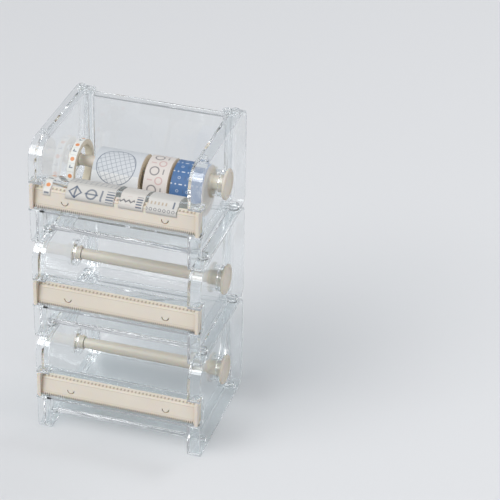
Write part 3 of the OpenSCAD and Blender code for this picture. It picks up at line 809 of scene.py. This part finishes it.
def wound_roll(roll, print_finish, edge_finish, seed):
    left, width, outer, height = roll_size(roll)
    inner = core_radius(roll)
    mesh = grown(WINDING, {
        "Left Edge": (left + SIDE_ROOM) * MM, "Width": (width - 2 * SIDE_ROOM) * MM,
        "Middle Y": ROD_Y * MM, "Middle Z": height * MM,
        "Inner Radius": inner * MM, "Outer Radius": (outer - RIM_ROOM) * MM,
        "Turns": float(round((outer - inner) / PAPER_PITCH)), "Steps Per Turn": 72,
        "End Angle": math.radians(STRIP_END_DEGREES), "Wander": 0.00012,
        "Seed": seed, "Paper": print_finish})
    work = bmesh.new()
    work.from_mesh(mesh)
    bmesh.ops.holes_fill(work, edges=[e for e in work.edges if e.is_boundary], sides=8)
    bmesh.ops.recalc_face_normals(work, faces=work.faces)
    work.to_mesh(mesh)
    work.free()
    mesh.materials.clear()
    mesh.materials.append(print_finish)
    mesh.materials.append(edge_finish)
    map_faces(mesh, ROD_Y * MM, height * MM, left * MM, side_slot=1)
    shade(mesh, PAPER_DEGREES)
    place_piece(roll + "_wound_tape", mesh, roll + "_roll", roll + "_print", roll + "_tape")
    print(roll, "roll:", len(mesh.polygons), "faces, radius", round(outer, 2), "mm")


ROLLS = ("narrow", "wide", "medium", "blue")
for number, roll in enumerate(ROLLS):
    wound_roll(roll, PRINTS[roll], BLUE_EDGE if roll == "blue" else PAPER_EDGE, 3.7 * number)

# %% [markdown]
# ## Cores
# A core is a turned shape: a wall of card with slightly crushed, rounded edges. Its section
# is swept round the roll's axis ring by ring, which gives clean quads and an exact map.

# %% Card cores
CORE_STEPS = 96
CORE_WALL, CORE_ROOM, CORE_ROUND = 1.4, 0.04, 0.3


def turned_tube(name, left, width, inner, outer, height, round_mm):
    """A tube about X with rounded rims, closed all round."""
    right = left + width
    section = []
    for x, r, start in ((left, outer, 180), (right, outer, 90), (right, inner, 0),
                        (left, inner, -90)):
        for step in range(4):
            a = math.radians(start - step * 30)
            cx = x + round_mm if x == left else x - round_mm
            cr = r - round_mm if r == outer else r + round_mm
            section.append((cx + round_mm * math.cos(a), cr + round_mm * math.sin(a)))
    mesh = bpy.data.meshes.new(name)
    points, faces = [], []
    for k in range(CORE_STEPS):
        a = math.tau * k / CORE_STEPS
        points += [(x * MM, (ROD_Y + r * math.cos(a)) * MM, (height + r * math.sin(a)) * MM)
                   for x, r in section]
    count = len(section)
    for k in range(CORE_STEPS):
        for i in range(count):
            a, b = k * count, (k + 1) % CORE_STEPS * count
            j = (i + 1) % count
            faces.append((a + i, a + j, b + j, b + i))
    mesh.from_pydata(points, [], faces)
    work = bmesh.new()
    work.from_mesh(mesh)
    bmesh.ops.recalc_face_normals(work, faces=work.faces)
    work.to_mesh(mesh)
    work.free()
    return mesh


for roll in ROLLS:
    left, width, _, height = roll_size(roll)
    around = core_radius(roll)
    mesh = turned_tube(roll + "_card_core", left, width, around - CORE_WALL,
                       around - CORE_ROOM, height, CORE_ROUND)
    mesh.materials.append(CARD)
    map_faces(mesh, ROD_Y * MM, height * MM, left * MM)
    shade(mesh, PAPER_DEGREES)
    place_piece(roll + "_card_core", mesh, roll + "_roll", "paper_core", roll + "_core")
print("cores:", len(ROLLS))

# %% [markdown]
# ## Free ends
# Each tape's free end leaves its roll low in front, rises to the top of the front wall, bends
# over it and over the cutter's ledge, and is pressed on the cutter's face, where the teeth
# have cut it. The route's corners follow from the sizes of a tier and of the roll. They are
# rounded with short curves, and the long first span rises in a bow.

# %% Route of a free end
STACK_UP = 2 * TIER_UP
AIR = 0.3
ROLL_AIR = 0.5
STUCK_LENGTH = 5.5
CORNER_CUT, CORNER_STEPS = 1.6, 5
BOW, BOW_STEPS, BOW_END = 8.0, 20, 0.96


def tail_corners(roll):
    """The route's corners in mm, as depth and height in the top tier."""
    _, _, outer, height = roll_size(roll)
    centre = Vector((ROD_Y, height - STACK_UP))
    rear = Vector((WALL_TOP[0] + WALL_THICK / 2, WALL_TOP[1] + AIR))
    front = Vector((WALL_TOP[0] - WALL_THICK / 2, WALL_TOP[1] + AIR))
    reach = outer + AIR + ROLL_AIR
    gap = rear - centre
    angle = math.atan2(gap.y, gap.x) + math.acos(reach / gap.length)
    start = centre + reach * Vector((math.cos(angle), math.sin(angle)))
    slope = math.atan2(LEDGE_REAR[1] - LEDGE_FRONT[1], LEDGE_REAR[0] - LEDGE_FRONT[0])
    tilt = math.atan2(LIP[0] - LEDGE_FRONT[0], LEDGE_FRONT[1] - LIP[1])
    lift = BUMP + AIR
    a = Vector(LEDGE_REAR) + lift * Vector((-math.sin(slope), math.cos(slope)))
    b = Vector(LEDGE_FRONT) + Vector((-AIR, lift))
    down = b + STUCK_LENGTH * Vector((math.sin(tilt), -math.cos(tilt)))
    return [start, rear, front, a, b, down]


def rounded_route(corners):
    """Rounds a route's corners with short curves, and lets its long first span rise in a bow
    that is fullest near the wall, as stiff paper does."""
    route = []
    first, second = corners[0], corners[1]
    along = (second - first).normalized()
    side = Vector((-along.y, along.x))
    side = side if side.y > 0 else -side
    for k in range(BOW_STEPS):
        t = BOW_END * k / (BOW_STEPS - 1)
        # t * t * (1 - t) is 4 / 27 where it is largest
        route.append(first.lerp(second, t) + side * BOW * (27 / 4) * t * t * (1 - t))
    for before, here, after in zip([route[-1]] + corners[1:], corners[1:], corners[2:]):
        into, out = here - before, after - here
        a = here - into.normalized() * min(CORNER_CUT, into.length * 0.45)
        b = here + out.normalized() * min(CORNER_CUT, out.length * 0.45)
        for k in range(CORNER_STEPS + 1):
            t = k / CORNER_STEPS
            route.append(a.lerp(here, t).lerp(here.lerp(b, t), t))
    route.append(corners[-1])
    return route


print("route of the wide end:", [tuple(round(c, 1) for c in p) for p in tail_corners("wide")])

# %% [markdown]
# A paper-thin sheet is laid along each route, in columns half a tooth wide. On its last row
# every second point is drawn back, which cuts the edge in the teeth's zigzag.

# %% Sheets of the free ends
PAPER_LIFT, PAPER_THICK = 0.22, 0.18
ZIGZAG = 0.9


def lifted(route, amount):
    """Moves a route outwards, away from what it lies on."""
    out = []
    for i, p in enumerate(route):
        before, after = route[max(i - 1, 0)], route[min(i + 1, len(route) - 1)]
        along = (after - before).normalized()
        out.append(p + amount * Vector((along.y, -along.x)))
    return out


def free_end(roll):
    low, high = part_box(roll + "_tail")
    left, width = low[0] / MM, (high[0] - low[0]) / MM
    route = lifted(rounded_route(tail_corners(roll)), PAPER_LIFT)
    columns = 2 * max(4, round(width / TOOTH))
    rows = len(route)
    lengths = [0.0]
    for p, q in zip(route, route[1:]):
        lengths.append(lengths[-1] + (q - p).length)
    points, maps = [], []
    for r, p in enumerate(route):
        for c in range(columns + 1):
            x = left + width * c / columns
            depth, height = p
            if r == rows - 1 and c % 2:
                back = (route[-2] - p).normalized() * ZIGZAG
                depth, height = depth + back.x, height + back.y
            points.append((x * MM, depth * MM, (height + STACK_UP) * MM))
            maps.append((lengths[r] * MM, (x - left) * MM))
    faces = []
    for r in range(rows - 1):
        for c in range(columns):
            k = r * (columns + 1) + c
            faces.append((k, k + columns + 1, k + columns + 2, k + 1))
    mesh = bpy.data.meshes.new(roll + "_free_end")
    mesh.from_pydata(points, [], faces)
    mesh.materials.append(END_PRINTS[roll])
    uv = mesh.uv_layers.new(name="tape")
    for loop in mesh.loops:
        uv.data[loop.index].uv = maps[loop.vertex_index]
    mesh.shade_smooth()
    piece = place_piece(roll + "_free_end", mesh, "top_tier", roll + "_print", roll + "_tail")
    thick = piece.modifiers.new("paper", "SOLIDIFY")
    thick.thickness = PAPER_THICK * MM
    thick.offset = 0
    print(roll, "free end:", round(lengths[-1], 1), "mm long,", round(width, 1), "mm wide")


for roll in ROLLS:
    free_end(roll)

# %% [markdown]
# ## Floor and light
# The floor is a plain pale sheet, a hair below the feet. A wide soft sun from the upper left
# gives the main light and keeps the far floor pale too, three soft lamps add highlights at the
# front, the right and the rear rims, and the world gives an even fill. Their level is set so
# that a surface renders about as bright as its colour is written.

# %% Floor
FLOOR_HALF, FLOOR_Z = 6.0, -0.0002


def pale_floor():
    material, tree = new_material("pale floor")
    place = add(tree, "ShaderNodeTexCoord").outputs["Object"]
    fine = grain(tree, place, 900, 3, 0.6)
    colour = blend_colours(tree, fine, (0.66, 0.665, 0.675, 1), (0.70, 0.705, 0.715, 1))
    body = add(tree, "ShaderNodeBsdfPrincipled",
               {"Base Color": colour, "Roughness": 0.8}).outputs[0]
    add(tree, "ShaderNodeOutputMaterial", {0: body})
    return material


floor_mesh = bpy.data.meshes.new("floor")
floor_mesh.from_pydata([(x * FLOOR_HALF, y * FLOOR_HALF, FLOOR_Z)
                        for x, y in ((-1, -1), (1, -1), (1, 1), (-1, 1))], [], [(0, 1, 2, 3)])
floor_mesh.materials.append(pale_floor())
floor = bpy.data.objects.new("floor", floor_mesh)
scene.collection.objects.link(floor)

# %% [markdown]
# A light shines down its own Z axis, so each one is turned until that axis runs the right way:
# a lamp's towards the middle of the stack, and the sun's down to the right and to the rear.

# %% Lamps and world
STACK_MIDDLE = Vector((0, 0, 0.16))
SOFT_LAMPS = {  # place, side of the lamp in metres, watts
    "front left lamp": ((-0.9, -1.3, 1.5), 0.9, 9),
    "right lamp": ((1.5, -0.5, 1.1), 0.8, 5),
    "rear lamp": ((1.0, 1.3, 1.9), 0.7, 9),
}


def shining(name, kind, power, way, place=(0, 0, 0)):
    """A light that shines along a way; returns its data, for what its kind still needs."""
    data = bpy.data.lights.new(name, kind)
    data.energy = power
    light = bpy.data.objects.new(name, data)
    scene.collection.objects.link(light)
    light.location = place
    light.rotation_mode = "QUATERNION"
    light.rotation_quaternion = way.to_track_quat("-Z", "Y")
    return data


for name, (place, size, power) in SOFT_LAMPS.items():
    lamp = shining(name, "AREA", power, STACK_MIDDLE - Vector(place), place)
    lamp.shape = "SQUARE"
    lamp.size = size
sun = shining("soft sun", "SUN", 1.7, Vector((0.5, 0.7, -1.0)))
sun.angle = math.radians(45)

world = bpy.data.worlds.new("studio air")
world.use_nodes = True
air = world.node_tree
air.nodes.clear()
sky = add(air, "ShaderNodeBackground", {0: (0.92, 0.95, 1.0, 1), 1: 0.42}).outputs[0]
add(air, "ShaderNodeOutputWorld", {0: sky})
scene.world = world
